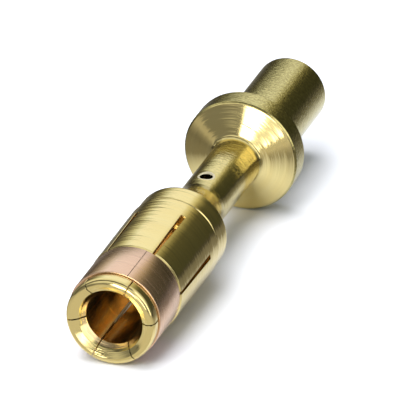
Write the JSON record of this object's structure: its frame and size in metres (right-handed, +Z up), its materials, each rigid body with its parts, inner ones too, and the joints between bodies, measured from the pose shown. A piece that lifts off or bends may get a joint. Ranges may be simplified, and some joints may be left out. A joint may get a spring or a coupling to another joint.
{
  "type": "crimp contact",
  "caption": "Turned socket crimp contact with sawn spring fingers, a split spring ring, a vented neck, a stop flange with a conical front and a wire crimp barrel.",
  "frame": {"origin": "on the surface the contact lies on, under the middle of its bounding box", "axes": "+Y from the mouth of the socket to the wire end, rising 1.84 degrees because the flange is larger than the spring ring; +Z up, through the vent hole in the neck"},
  "size_m": [0.0078, 0.0364, 0.0079],
  "materials": {
    "plated_brass": "turned, bright gold-coloured plating with fine turning marks",
    "copper_alloy": "rolled copper-alloy strip, bare and satin"
  },
  "bodies": {
    "root": {"contact_body": "plated_brass", "spring_ring": "copper_alloy"}
  },
  "joints": []
}
